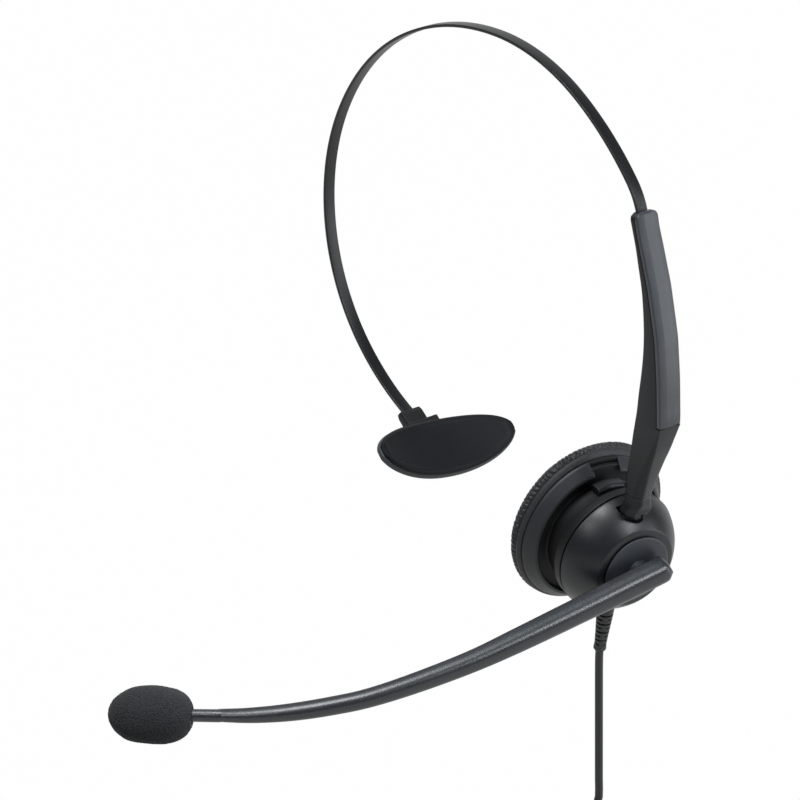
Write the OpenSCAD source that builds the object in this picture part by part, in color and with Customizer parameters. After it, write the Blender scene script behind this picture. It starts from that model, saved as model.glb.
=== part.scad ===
// Single-ear office headset: flexible steel headband with a temple pad, one
// swivelling ear cup and a curved microphone boom. Millimetres.
// Origin: centre of the ear cushion's face. +Z up, wearer's forward is -Y,
// the cup's outer side faces +X.

/* [Ear cup] */
// Outer radius of the soft ear cushion
cushion_r = 25.2; // [24.8:0.1:25.6]
// Radius of the opening in the ear cushion
cushion_hole_r = 12; // [10:0.5:13]
// Turn of the cup towards the wearer's face, degrees
cup_toe = 8; // [7.5:0.5:8.5]
// Lean of the cup, top towards the head, degrees
cup_lean = 12.5; // [12:0.5:13]
// Outer radius of the domed shell
dome_r = 19.6; // [19.4:0.1:19.8]
// Radius of the boom's hub disc
hub_r = 10.6; // [9.8:0.2:11.2]

/* [Arm and headband] */
// Width of the arm along Y
arm_w = 8; // [7.6:0.2:9]
// Width of the spring strip
strip_w = 3.8; // [3.4:0.1:4]
// Thickness of the spring strip
strip_t = 0.9; // [0.7:0.1:0.9]
// Length of the temple pad
pad_len = 50; // [46:1:54]
// Width of the temple pad
pad_wid = 18; // [16:0.5:20]

/* [Boom] */
// Angle of the boom below the cup's horizontal, degrees
boom_drop = 13.6; // [9.6:1:17.6]
// Diameter of the foam windscreen
foam_d = 16; // [14:0.2:18]

/* [Cord] */
// Diameter of the cord
cord_d = 2.4; // [2.2:0.1:2.6]

/* [Hidden] */
$fn = 48;
band_y = -6.4;                       // plane of the headband and arm
cup_at = [-0.8, -2.1, 0.9];          // cushion's face centre as seen from the headband's zero
hang = [8.4, -1.2];                  // where the cord hangs, X and Y
black = [0.12, 0.12, 0.13];
dark = [0.17, 0.17, 0.18];
grey = [0.3, 0.3, 0.32];
steel = [0.6, 0.6, 0.62];
copper = [0.7, 0.5, 0.3];
// cord's way down from the strain relief: x, y, z
cord_pts = [[8.95, -1.45, -39.12], [8.6, -1.3, -42.5], [8.45, -1.2, -47], [8.4, -1.2, -53],
  [8.4, -1.2, -59], [8.4, -1.2, -65], [8.4, -1.2, -71], [8.4, -1.2, -77],
  [8.4, -1.2, -83], [8.4, -1.2, -89], [8.4, -1.2, -95.6]];
// headband strip: arc length, radius; the first heading is 105 degrees
arcs = [[9, 21.6], [28, 90], [36, 66], [44, 79.6], [44, 71.4], [40, 65], [36, 61.3], [24, 69.7]];
mouth = [31.7, 101];
// a walk along arcs [length, radius] with a step of about 4 mm
function step_n(a) = ceil(a[0] / 4);
function walk(i, k, x, z, h) =
  i >= len(arcs) ? [[x, z, h]] :
  let (n = step_n(arcs[i]), d = arcs[i][0] / n, t = d / arcs[i][1] * 180 / PI)
  k >= n ? walk(i + 1, 0, x, z, h) :
  concat([[x, z, h]], walk(i, k + 1, x + d * cos(h + t / 2), z + d * sin(h + t / 2), h + t));
line = walk(0, 0, mouth[0], mouth[1], 105);
down = [0.2588, -0.9659];            // channel's direction into the arm
strip_in = 28;                       // strip's length inside the arm at rest
left = [for (p = line) [p[0] - sin(p[2]) * strip_t / 2, p[1] + cos(p[2]) * strip_t / 2]];
right = [for (i = [len(line) - 1 : -1 : 0]) [line[i][0] + sin(line[i][2]) * strip_t / 2, line[i][1] - cos(line[i][2]) * strip_t / 2]];
foot = [mouth[0] + down[0] * strip_in, mouth[1] + down[1] * strip_in];
nrm = [0.9659, 0.2588] * strip_t / 2;
// arm profile in X, Z
arm_in = [[30.5, 101.5], [31.6, 97.7], [33.1, 92.3], [34.2, 87.2], [35.6, 80.5], [36.2, 75],
  [36.5, 69.4], [36.5, 65.6], [36.2, 60.8], [35.5, 55.3], [34.6, 49.9], [33.6, 43.1],
  [32.2, 37.2], [30.8, 30.6], [29.1, 23.4], [28, 16]];
arm_out = [[34, 101.9], [35, 97.1], [36.6, 92], [38.3, 86.3], [39.7, 81.6], [40.7, 76.9],
  [41.9, 71], [42.7, 66.7], [42.9, 62.1], [43.5, 55.1], [43.7, 47], [43.8, 41.5]];
arm_seam = [[32.6, 101.6], [33.5, 96.6], [35.1, 91.5], [36.8, 85.8], [38.1, 81.2], [39.1, 76.5],
  [40.2, 70.7], [41, 66.4], [41.2, 62], [41.8, 55], [42, 47], [42.1, 41]];
arm_low = [[42.9, 39], [40.7, 33], [38.5, 28], [36.3, 22.5], [33.8, 16]];
// boom centreline: distance from the hub, height above the cup's face plane
boom_line = [[-7, 36.9], [19, 36.9], [43, 36.7], [56.2, 36.2], [71.6, 34.3], [84.4, 32], [91.2, 30.2],
  [97, 27.9], [103, 25.3], [108.8, 22.4], [114.4, 19.1], [119.8, 15.4], [124.9, 11.3]];
boom_half = [3.1, 3.05, 2.85, 2.6, 2.45, 2.25, 2.2, 2.15, 2.1, 2.0, 1.9, 1.75, 1.65];

// ---- frames ----
module cup() translate(cup_at) rotate([0, 0, -cup_toe]) rotate([0, cup_lean, 0]) children();
// turned about the cup's axis; profile in radius, height
module rev(pts) cup() rotate([0, 90, 0]) rotate_extrude() polygon(pts);
module along_x(x, y, z) cup() translate([x, y, z]) rotate([0, 90, 0]) children();
module boomside() cup() rotate([boom_drop, 0, 0]) children();
module at_pad() translate([-68.9, band_y, 12]) rotate([0, 42, 0]) children();
module leaf(l, w, h) {
  rr = (l * l / 4 + w * w / 4) / w;
  linear_extrude(h) intersection() {
    translate([rr - w / 2, 0]) circle(r = rr);
    translate([w / 2 - rr, 0]) circle(r = rr);
  }
}

// ---- ear cup: cushion and speaker ----
module ear_cushion() color(black) rev([
  [cushion_hole_r + 2, 0], [cushion_r - 5.6, 0], [cushion_r - 4, 0.8], [cushion_r - 2.6, 1.8],
  [cushion_r - 1, 3.2], [cushion_r - 0.2, 4.4], [cushion_r, 5.2], [cushion_r - 0.3, 6.3],
  [cushion_r - 1.1, 7.2], [cushion_r - 2.1, 7.9], [21.4, 7.9], [21.4, 6.7], [14, 6.7],
  [cushion_hole_r + 0.6, 6.7], [cushion_hole_r, 5], [cushion_hole_r, 2.4], [cushion_hole_r + 0.8, 0.6]]);

module cushion_ring() color(dark) rev([[14, 6.7], [21.4, 6.7], [21.4, 7.9], [14, 7.9]]);

module speaker_cloth() color(black) along_x(9.5, 0, 0) cylinder(r = 13.95, h = 0.3);

module speaker_grille() color(dark) difference() {
  along_x(9.8, 0, 0) cylinder(r = 13.95, h = 1.2);
  along_x(9.6, 0, 0) for (k = [[1, 0], [6, 4.2], [12, 8.4]]) for (i = [1 : k[0]])
    rotate([0, 0, i * 360 / k[0]]) translate([k[1], 0, 0]) cylinder(r = 1.1, h = 2, $fn = 16);
}

module speaker_frame() color(dark) rev([[11, 11], [13.95, 11], [13.95, 12], [12.6, 12.2],
  [12, 14.6], [8.6, 16.2], [7.4, 16.2], [7.4, 15.2], [10.8, 13.6], [11.4, 12]]);

module diaphragm() color(grey) rev([[0, 12.4], [3, 12.2], [5.5, 11.8], [11.2, 11.6],
  [11.26, 11.85], [6, 12.1], [3.2, 12.6], [0, 12.8]]);

module magnet() color(steel) along_x(13.2, 0, 0) difference() {
  cylinder(r = 7.4, h = 4.6);
  translate([0, 0, -1]) difference() { cylinder(r = 5.6, h = 3.4); cylinder(r = 4.4, h = 3.4); }
}

// ---- ear cup: housing ----
module cup_base() color(dark) difference() {
  union() {
    rev([[14, 7.9], [23.1, 7.9], [23.2, 8.3], [23, 8.8], [20.9, 11.5], [20.3, 11.8],
      [16, 11.8], [16, 17.6], [18.1, 17.6], [18.2, 20.9], [14.4, 20.9], [14.4, 18.4],
      [8.4, 18.4], [8.4, 17.8], [14.4, 17.2], [14.4, 13], [13.2, 12.4], [14, 12]]);
    // lug that carries the stop of the neck
    cup() translate([11.6, -6.5, 15.5]) cube([5.6, 10, 4.2]);
  }
  // window through the shoulder
  cup() translate([8.6, -2.7, 18.5]) cube([4, 8.1, 8]);
  // screw holes in the inner web
  for (a = [20, 160, 230, 310]) cup() rotate([a, 0, 0]) translate([16, 11.3, 0])
    rotate([0, 90, 0]) cylinder(r = 0.9, h = 4, $fn = 16);
  // hole for the strain relief
  cup() translate([18, 2, -12]) rotate([180, 0, 0]) cylinder(r = 2.4, h = 8, $fn = 24);
}

module dome_shell() color(dark) difference() {
  union() {
    // skin with a flat top under the hub, and a spigot into the base
    cup() rotate([0, 90, 0]) rotate_extrude() difference() {
      union() {
        intersection() {
          translate([0, 16]) circle(r = dome_r);
          translate([0, 21.3]) square([30, 9.9]);
        }
        translate([13.2, 18.9]) square([1.15, 4]);
      }
      intersection() {
        translate([0, 16]) circle(r = dome_r - 1.6);
        polygon([[0, 15], [13.2, 15], [13.2, 22.4], [30, 22.4], [30, 29.8], [5, 29.8], [5, 28.6], [0, 28.6]]);
      }
    }
    // screw bosses
    intersection() {
      cup() translate([16, 0, 0]) sphere(r = dome_r - 0.8);
      for (a = [20, 160, 230, 310]) cup() rotate([a, 0, 0]) translate([18.4, 11.3, 0])
        rotate([0, 90, 0]) cylinder(r = 2.1, h = 12, $fn = 24);
    }
    // two ears that hold the neck's pin
    intersection() {
      cup() translate([16, 0, 0]) sphere(r = dome_r - 0.8);
      cup() for (s = [-1, 1]) translate([21.4, s * 7 - 1.6, 5]) cube([9, 3.2, 8]);
    }
  }
  // bore of the boom's hub
  along_x(27, 0, 0) cylinder(r = 3.05, h = 6);
  // slot for the neck
  cup() translate([18, -6, 14.2]) cube([20, 12, 12]);
  cup() translate([18, -5.2, 11.6]) cube([10.4, 10.4, 8]);
  cup() translate([25, 0, 9]) rotate([90, 0, 0]) cylinder(r = 1.5, h = 17.2, center = true, $fn = 24);
  for (a = [20, 160, 230, 310]) cup() rotate([a, 0, 0]) translate([17, 11.3, 0])
    rotate([0, 90, 0]) cylinder(r = 0.8, h = 6.4, $fn = 16);
}

module cup_screws() color(steel) for (a = [20, 160, 230, 310])
  cup() rotate([a, 0, 0]) translate([16.2, 11.3, 0]) rotate([0, 90, 0]) {
    cylinder(r = 1.6, h = 1.2, $fn = 24);
    cylinder(r = 0.8, h = 7, $fn = 16);
  }

module neck_pin() color(steel) cup() translate([25, 0, 9]) rotate([90, 0, 0])
  cylinder(r = 1.5, h = 17, center = true, $fn = 24);

module strain_relief() color(black) cup() translate([18, 2, -37]) rotate_extrude($fn = 32)
  polygon([[0, 0], [1.75, 0], [2.0, 8], [2.35, 15], [2.35, 22.5], [0, 22.5]]);

// ---- cord and plug ----
module cord_tube() color(black) {
  n = len(cord_pts); s = 8;
  polyhedron(
    points = [for (i = [0 : n - 1]) let (
        a = cord_pts[max(i - 1, 0)], b = cord_pts[min(i + 1, n - 1)], t = (b - a) / norm(b - a),
        u = cross([0, 1, 0], t) / norm(cross([0, 1, 0], t)), v = cross(t, u))
      for (k = [0 : s - 1]) cord_pts[i] + cord_d / 2 * (cos(k * 360 / s) * u + sin(k * 360 / s) * v)],
    faces = concat([[for (k = [0 : s - 1]) k]],
      [[for (k = [s - 1 : -1 : 0]) (n - 1) * s + k]],
      [for (i = [0 : n - 2]) for (k = [0 : s - 1])
        [i * s + k, (i + 1) * s + k, (i + 1) * s + (k + 1) % s, i * s + (k + 1) % s]]));
}
module cord_coil() color(black) translate([hang[0] + 5.6, hang[1], -113.3]) rotate([90, 0, 0])
  rotate_extrude() translate([14, 0]) circle(r = 4.3, $fn = 24);
module cord_tie() color(grey) translate([hang[0] + 5.6, hang[1], -113.3]) rotate([90, 0, 0]) difference() {
  rotate_extrude(convexity = 4) translate([14, 0]) circle(r = 4.9, $fn = 24);
  rotate_extrude(convexity = 4) translate([14, 0]) circle(r = 4.3, $fn = 24);
  translate([-30, -30, -10]) cube([35, 60, 20]);
  translate([-30, 4, -10]) cube([60, 60, 20]);
  translate([-30, -64, -10]) cube([60, 60, 20]);
}
module cord_tail() color(black) translate([hang[0], hang[1], -145.6]) cylinder(r = cord_d / 2, h = 15.4, $fn = 16);
module plug_body() color(dark) translate([hang[0], hang[1], -173.6]) {
  rotate_extrude() polygon([[0, 0], [4.3, 0], [4.7, 1.2], [4.7, 17], [3.2, 20], [2.3, 22], [2.1, 28], [0, 28]]);
}
module plug_shaft() color(steel) translate([hang[0], hang[1], -173.6]) difference() {
  rotate([180, 0, 0]) rotate_extrude() polygon([[0, 0], [1.75, 0], [1.75, 12], [1.2, 12.5],
    [1.55, 13.2], [0.6, 15], [0, 15]]);
  for (z = [3.2, 6.2, 9.2]) translate([0, 0, -z - 0.6]) difference() {
    cylinder(r = 3, h = 0.6); translate([0, 0, -1]) cylinder(r = 1.5, h = 3);
  }
}
module plug_rings() color(black) translate([hang[0], hang[1], -173.6])
  for (z = [3.2, 6.2, 9.2]) translate([0, 0, -z - 0.6]) difference() {
    cylinder(r = 1.75, h = 0.6); translate([0, 0, -1]) cylinder(r = 1.5, h = 3);
  }

// ---- neck: tilts in the dome, carries the arm ----
module neck_block() color(dark) cup() difference() {
  union() {
    translate([25, 0, 9]) rotate([90, 0, 0]) cylinder(r = 4.4, h = 10, center = true);
    translate([23.6, -4.3, 9]) cube([3.2, 8.6, 8]);
    translate([25.4, -4.3, 15.7]) cube([4.9, 8.6, 7.6]);
  }
  translate([25, 0, 9]) rotate([90, 0, 0]) cylinder(r = 1.55, h = 12, center = true, $fn = 24);
  translate([27.9, 0, 15]) cylinder(r = 1.3, h = 12, $fn = 24);
  translate([25.2, -2.8, 14.9]) cube([6, 5.6, 2.6]);
}

// ---- arm ----
module arm_plate(pts) translate([0, band_y + arm_w / 2, 0]) rotate([90, 0, 0]) linear_extrude(arm_w) polygon(pts);
module channel(s0, s1, w, d0, d1)
  translate([mouth[0], band_y, mouth[1]]) rotate([0, 165, 0])
    translate([-d1, -w / 2, s0]) cube([d1 - d0, w, s1 - s0]);
module arm_body() color(dark) difference() {
  intersection() {
    arm_plate(concat(arm_in, [for (i = [len(arm_low) - 1 : -1 : 0]) arm_low[i]],
      [arm_out[11]], [for (i = [len(arm_seam) - 1 : -1 : 0]) arm_seam[i]]));
    cup() translate([0, -40, 23.4]) cube([80, 80, 90]);
    // lower end narrows to the neck
    union() {
      translate([0, -30, 34]) cube([80, 60, 80]);
      cup() translate([27.9, 0, 20]) cylinder(r = 5.9, h = 20);
      translate([20, band_y - arm_w / 2, 28]) cube([40, arm_w, 20]);
    }
  }
  channel(-6, 31, strip_w + 0.2, -0.5, 0.5);
  channel(6, 31, 5.8, -0.5, 0.5);
  channel(14.9, 25.1, 3.4, 0.3, 0.95);
  cup() translate([27.9, 0, 22]) cylinder(r = 1.25, h = 10.6, $fn = 24);
  for (z = [46, 58]) translate([30, band_y, z]) rotate([0, 90, 0]) {
    cylinder(r = 0.8, h = 20, $fn = 16);
    cylinder(r = 1.6, h = (z > 50 ? 8 : 6.6), $fn = 24);
  }
}
module arm_cover() color(grey) difference() {
  arm_plate(concat(arm_out, [for (i = [len(arm_seam) - 1 : -1 : 0]) arm_seam[i]]));
  for (z = [46, 58]) translate([30, band_y, z]) rotate([0, 90, 0]) cylinder(r = 0.8, h = 12.8, $fn = 16);
  channel(14.9, 25.1, 3.4, 0.3, 0.95);
}
module arm_screws() color(steel) for (z = [46, 58]) translate([(z > 50 ? 37 : 35.6), band_y, z]) rotate([0, 90, 0]) {
  cylinder(r = 1.6, h = 1, $fn = 24);
  cylinder(r = 0.8, h = (z > 50 ? 5.8 : 7.2), $fn = 16);
}
module friction_spring() color(steel) channel(15, 25, 3, 0.55, 0.95);
module stem_pin() color(steel) cup() translate([27.9, 0, 15.4]) difference() {
  cylinder(r = 1.25, h = 17.2, $fn = 24);
  translate([0, 0, 0.6]) difference() { cylinder(r = 3, h = 0.7); cylinder(r = 0.9, h = 0.7, $fn = 24); }
}
module stem_clip() color(steel) cup() translate([27.9, 0, 16]) difference() {
  cylinder(r = 2.4, h = 0.7, $fn = 24);
  translate([0, 0, -1]) cylinder(r = 0.9, h = 3, $fn = 24);
  translate([0, -0.7, -1]) cube([4, 1.4, 3]);
}

// ---- headband ----
module headband_strip() color(black) translate([0, band_y + strip_w / 2, 0]) rotate([90, 0, 0])
  linear_extrude(strip_w) polygon(concat([foot + nrm], right2(), [foot - nrm]));
function right2() = concat([for (i = [len(right) - 1 : -1 : 0]) right[i]], [for (i = [len(left) - 1 : -1 : 0]) left[i]]);
module end_stop() color(grey) difference() {
  channel(25, 29.8, 5.6, -0.45, 0.45);
  channel(20, strip_in, strip_w, -1, 1);
}
module pad_clip() color(dark) difference() {
  at_pad() translate([-0.8, -4, -1.8]) cube([8.4, 8, 3.6]);
  headband_strip();
  at_pad() translate([5.6, 0, 0]) rotate([90, 0, 0]) cylinder(r = 0.8, h = 20, center = true, $fn = 24);
}
module pad_pin() color(steel) at_pad() translate([5.6, 0, 0]) rotate([90, 0, 0])
  cylinder(r = 0.8, h = 10.8, center = true, $fn = 24);

// ---- temple pad ----
module pad_backing() color(dark) at_pad() difference() {
  union() {
    translate([15, 0, 3]) rotate([0, 0, -7]) leaf(pad_len, pad_wid, 1.2);
    for (s = [-1, 1]) translate([3.8, s * 4.8 - 0.6, -1.5]) cube([5.2, 1.2, 5.7]);
    translate([4.4, -5.4, 3]) cube([6, 10.8, 1.2]);
  }
  translate([5.6, 0, 0]) rotate([90, 0, 0]) cylinder(r = 0.85, h = 20, center = true, $fn = 24);
}
module pad_cushion() color(black) at_pad() translate([15, 0, 4.2]) rotate([0, 0, -7])
  leaf(pad_len - 1, pad_wid - 0.6, 2.6);

// ---- boom ----
module hub_disc() color(grey) difference() {
  rev([[0, 27.6], [2.95, 27.6], [2.95, 31.5], [hub_r - 0.3, 31.5], [hub_r, 31.8],
    [hub_r - 0.4, 32.2], [3.6, 32.6], [3.4, 33.8], [0, 33.8]]);
  along_x(27, 0, 0) cylinder(r = 1, h = 4, $fn = 16);
}
module hub_washer() color(steel) along_x(26.8, 0, 0) difference() {
  cylinder(r = 4, h = 0.8);
  translate([0, 0, -1]) cylinder(r = 1, h = 3, $fn = 16);
}
module hub_screw() color(steel) along_x(25.8, 0, 0) {
  cylinder(r = 2, h = 1, $fn = 24);
  cylinder(r = 1, h = 5, $fn = 16);
}
module boom_shape() rotate([0, 90, 0]) linear_extrude(60) polygon([[3.8, 5], [3.2, 7.6], [1.6, 9.2],
    [-1.6, 9.2], [-3.2, 7.6], [-3.8, 5], [-3.6, -20], [-3.35, -43], [-3.05, -56], [-2.65, -86],
    [-2.3, -105], [-2.0, -117], [-1.65, -126], [1.65, -126], [2.0, -117], [2.3, -105],
    [2.65, -86], [3.05, -56], [3.35, -43], [3.6, -20]]);
module wire_room() linear_extrude(2, center = true)
  polygon(concat([for (i = [1 : 11]) [boom_line[i][1] - 1, -boom_line[i][0]]],
    [for (i = [11 : -1 : 1]) [boom_line[i][1] + 0.2, -boom_line[i][0]]]));
module boom_ext(a, b) linear_extrude(9, center = true)
  polygon(concat([[boom_line[0][1] + (a < -5 ? -boom_half[0] : a), 9.4]],
    [for (i = [0 : 12]) [boom_line[i][1] + (a < -5 ? -boom_half[i] : a), -boom_line[i][0]]],
    [for (i = [12 : -1 : 0]) [boom_line[i][1] + (b > 5 ? boom_half[i] : b), -boom_line[i][0]]],
    [[boom_line[0][1] + (b > 5 ? boom_half[0] : b), 9.4]]));
module boom_outer() color(grey) boomside() difference() {
  intersection() { boom_ext(-1, 9); boom_shape(); }
  wire_room();
}
module boom_inner() color(dark) boomside() intersection() { boom_ext(-9, -1); boom_shape(); }
module mic_lead() color(copper) boomside() linear_extrude(0.8, center = true)
  polygon(concat([for (i = [1 : 11]) [boom_line[i][1] - 1, -boom_line[i][0]]],
    [for (i = [11 : -1 : 1]) [boom_line[i][1] - 0.3, -boom_line[i][0]]]));
// frame at the boom's tip, Z along the tip
module at_tip(s) boomside() translate([11.3 - 0.629 * s, -124.9 - 0.777 * s, 0]) rotate([0, 0, -39]) rotate([90, 0, 0]) children();
module mic_neck() color(dark) at_tip(1.5) cylinder(r = 1.65, h = 6.2, $fn = 24);
module mic_capsule() color(steel) at_tip(7.7) cylinder(r = 3, h = 5, $fn = 32);
module windscreen() color(black) at_tip(7.2) difference() {
  rotate_extrude() polygon([[0, 0], [2.6, 0.2], [5, 1.7], [6.6, 4], [7.6, 7.6], [foam_d / 2, 12], [foam_d / 2 - 0.1, 15],
    [7.3, 18.4], [5.8, 21.6], [3.6, 23.8], [0, 24.6]]);
  translate([0, 0, -1]) cylinder(r = 1.65, h = 2, $fn = 24);
  translate([0, 0, 0.5]) cylinder(r = 3, h = 5, $fn = 32);
}

// the cushion's face centre is the origin
translate(-cup_at) {
  ear_cushion();
  cushion_ring();
  speaker_cloth();
  speaker_grille();
  speaker_frame();
  diaphragm();
  magnet();
  cup_base();
  dome_shell();
  cup_screws();
  neck_pin();
  strain_relief();
  cord_tube();
  cord_coil();
  cord_tie();
  cord_tail();
  plug_body();
  plug_shaft();
  plug_rings();
  neck_block();
  arm_body();
  arm_cover();
  arm_screws();
  friction_spring();
  stem_pin();
  stem_clip();
  headband_strip();
  end_stop();
  pad_clip();
  pad_pin();
  pad_backing();
  pad_cushion();
  hub_disc();
  hub_washer();
  hub_screw();
  boom_outer();
  boom_inner();
  mic_lead();
  mic_neck();
  mic_capsule();
  windscreen();
}
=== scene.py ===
"""Office headset: detailed pieces, materials, cord, camera and light.

Built in millimetres in the CAD's frame and scaled to metres when a mesh is made.
"""
import bpy, bmesh, math
from mathutils import Vector, Matrix, noise


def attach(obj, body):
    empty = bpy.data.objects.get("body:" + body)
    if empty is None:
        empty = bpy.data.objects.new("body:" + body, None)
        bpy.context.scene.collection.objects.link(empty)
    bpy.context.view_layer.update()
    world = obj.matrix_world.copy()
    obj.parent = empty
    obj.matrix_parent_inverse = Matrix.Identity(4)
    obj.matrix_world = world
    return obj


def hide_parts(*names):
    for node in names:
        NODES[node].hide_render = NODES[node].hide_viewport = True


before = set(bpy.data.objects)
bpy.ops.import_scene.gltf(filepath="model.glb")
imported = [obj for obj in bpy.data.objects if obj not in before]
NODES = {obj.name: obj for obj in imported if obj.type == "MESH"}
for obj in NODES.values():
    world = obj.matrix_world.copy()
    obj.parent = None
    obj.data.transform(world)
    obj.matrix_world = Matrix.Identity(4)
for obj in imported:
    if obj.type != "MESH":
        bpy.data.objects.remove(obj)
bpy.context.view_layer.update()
S = 0.001
pi = math.pi

# ------------------------------------------------------------------ frames
XL = Vector((0.966795, -0.135874, -0.216440))      # out of the cup
YL = Vector((0.139173, 0.990268, 0.0))             # backward
ZL = Vector((0.214333, -0.030123, 0.976296))       # up
OFF = Vector((0.8, 2.1, -0.9))                     # headband's zero seen from the cushion
def W(x, y, z):
    return Vector((x, y, z)) + OFF
def L(x, y, z):
    return XL * x + YL * y + ZL * z
C16, S16 = math.cos(math.radians(13.6)), math.sin(math.radians(13.6))
BY = YL * C16 + ZL * S16
BZ = -YL * S16 + ZL * C16
def B(x, r, w):
    """Boom plane: x out of the cup, r along the boom, w across it."""
    return XL * x - BY * r + BZ * w
C42, S42 = math.cos(math.radians(42)), math.sin(math.radians(42))
PE = W(-68.9, -6.4, 12.0)
PT, PN = Vector((C42, 0, -S42)), Vector((S42, 0, C42))
def PAD(t, y, n):
    return PE + PT * t + Vector((0, 1, 0)) * y + PN * n

# ------------------------------------------------------------------ small maths
def clamp(v, a=0.0, b=1.0):
    return max(a, min(b, v))
def smooth(a, b, v):
    t = clamp((v - a) / (b - a))
    return t * t * (3 - 2 * t)
def lerp_table(tab, v):
    """Piecewise cubic (monotone-ish Hermite) reading of [(v, ...values)]."""
    n = len(tab)
    if v <= tab[0][0]:
        return list(tab[0][1:])
    if v >= tab[-1][0]:
        return list(tab[-1][1:])
    for i in range(n - 1):
        if tab[i][0] <= v <= tab[i + 1][0]:
            break
    x0, x1 = tab[i][0], tab[i + 1][0]
    h = x1 - x0
    t = (v - x0) / h
    out = []
    for k in range(1, len(tab[0])):
        y0, y1 = tab[i][k], tab[i + 1][k]
        d = (y1 - y0) / h
        if i > 0:
            dp = (y0 - tab[i - 1][k]) / (x0 - tab[i - 1][0])
            m0 = 0.5 * (d + dp)
        else:
            m0 = d
        if i < n - 2:
            dn = (tab[i + 2][k] - y1) / (tab[i + 2][0] - x1)
            m1 = 0.5 * (d + dn)
        else:
            m1 = d
        t2, t3 = t * t, t * t * t
        out.append((2 * t3 - 3 * t2 + 1) * y0 + (t3 - 2 * t2 + t) * h * m0 + (-2 * t3 + 3 * t2) * y1 + (t3 - t2) * h * m1)
    return out
def fillet(pts, radii, seg=4):
    """Round the corners of a closed 2-D polygon. Every corner gives seg + 1 points."""
    n = len(pts)
    if not hasattr(radii, "__len__"):
        radii = [radii] * n
    out = []
    for i in range(n):
        p = Vector(pts[i]); a = Vector(pts[i - 1]); b = Vector(pts[(i + 1) % n])
        va, vb = (a - p), (b - p)
        la, lb = va.length, vb.length
        va /= la; vb /= lb
        r = radii[i]
        ang = math.acos(clamp(va.dot(vb), -1, 1))
        if r <= 1e-6 or ang > pi - 0.02:
            out += [(p.x, p.y)] * (seg + 1) if r > 1e-6 else [(p.x, p.y)] * (seg + 1)
            continue
        d = min(r / math.tan(ang / 2), 0.48 * la, 0.48 * lb)
        r = d * math.tan(ang / 2)
        c = p + (va + vb).normalized() * (r / math.sin(ang / 2))
        s0 = p + va * d - c; s1 = p + vb * d - c
        a0 = math.atan2(s0.y, s0.x); a1 = math.atan2(s1.y, s1.x)
        da = a1 - a0
        while da > pi: da -= 2 * pi
        while da < -pi: da += 2 * pi
        for k in range(seg + 1):
            t = a0 + da * k / seg
            out.append((c.x + r * math.cos(t), c.y + r * math.sin(t)))
    return out

# ------------------------------------------------------------------ mesh helpers
def finish_piece(ob, body, mat, replaces=()):
    ob.data.materials.clear()
    ob.data.materials.append(mat)
    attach(ob, body)
    if replaces:
        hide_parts(*replaces)
    return ob
def make(name, verts, faces, angle=35, merge=0.0005, recalc=True):
    me = bpy.data.meshes.new(name)
    me.from_pydata([Vector(v) * S for v in verts], [], faces)
    bm = bmesh.new(); bm.from_mesh(me)
    if merge:
        bmesh.ops.remove_doubles(bm, verts=bm.verts, dist=merge * S)
    if recalc:
        bmesh.ops.recalc_face_normals(bm, faces=bm.faces)
    bm.to_mesh(me); bm.free()
    shade(me, angle)
    ob = bpy.data.objects.new(name, me)
    bpy.context.scene.collection.objects.link(ob)
    return ob
def shade(me, angle=35):
    me.shade_smooth()
    me.set_sharp_from_angle(angle=math.radians(angle))
def bake(ob, angle=35):
    """Apply the modifiers."""
    dg = bpy.context.evaluated_depsgraph_get()
    dg.update()
    me = bpy.data.meshes.new_from_object(ob.evaluated_get(dg))
    old = ob.data
    ob.modifiers.clear()
    ob.data = me
    me.name = ob.name
    bpy.data.meshes.remove(old)
    shade(me, angle)
    return ob
def boolean(ob, cutter, op="DIFFERENCE", angle=35):
    m = ob.modifiers.new("b", "BOOLEAN")
    m.operation = op; m.solver = "EXACT"; m.object = cutter
    bake(ob, angle)
    bpy.data.objects.remove(cutter)
    return ob
def bevel(ob, width, seg=2, limit=40, angle=35):
    m = ob.modifiers.new("v", "BEVEL")
    m.width = width * S; m.segments = seg; m.limit_method = "ANGLE"
    m.angle_limit = math.radians(limit); m.use_clamp_overlap = True
    bake(ob, angle)
    return ob
def join(name, obs, angle=35):
    """Join several made objects into one mesh."""
    verts, faces = [], []
    for o in obs:
        n = len(verts)
        verts += [v.co.copy() / S for v in o.data.vertices]
        faces += [[n + i for i in p.vertices] for p in o.data.polygons]
        bpy.data.objects.remove(o)
    return make(name, verts, faces, angle, merge=0, recalc=False)
def loft(name, rings, cap=(True, True), closed=True, loop=False, angle=35):
    """Rings of equal length joined by quads."""
    n = len(rings[0]); verts = []; faces = []
    for r in rings:
        verts += list(r)
    m = len(rings)
    for i in range(m if loop else m - 1):
        a, b = i * n, ((i + 1) % m) * n
        for k in range(n if closed else n - 1):
            k2 = (k + 1) % n
            faces.append((a + k, a + k2, b + k2, b + k))
    if closed and not loop:
        if cap[0]: faces.append(tuple(range(n - 1, -1, -1)))
        if cap[1]: faces.append(tuple(range((m - 1) * n, m * n)))
    return make(name, verts, faces, angle)
def revolve(name, prof, n=96, place=None, a0=0.0, a1=2 * pi, mod=None, angle=35):
    """Closed profile of (R, x) turned about the cup's axis; a0..a1 from the top towards the back."""
    place = place or (lambda x, R, a: L(x, R * math.sin(a), R * math.cos(a)))
    full = abs(a1 - a0 - 2 * pi) < 1e-6
    cnt = n if full else n + 1
    rings = []
    for i in range(cnt):
        a = a0 + (a1 - a0) * i / n
        rings.append([place(*(mod(x, R, a) if mod else (x, R, a))) for R, x in prof])
    return loft(name, rings, loop=full, angle=angle)
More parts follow.
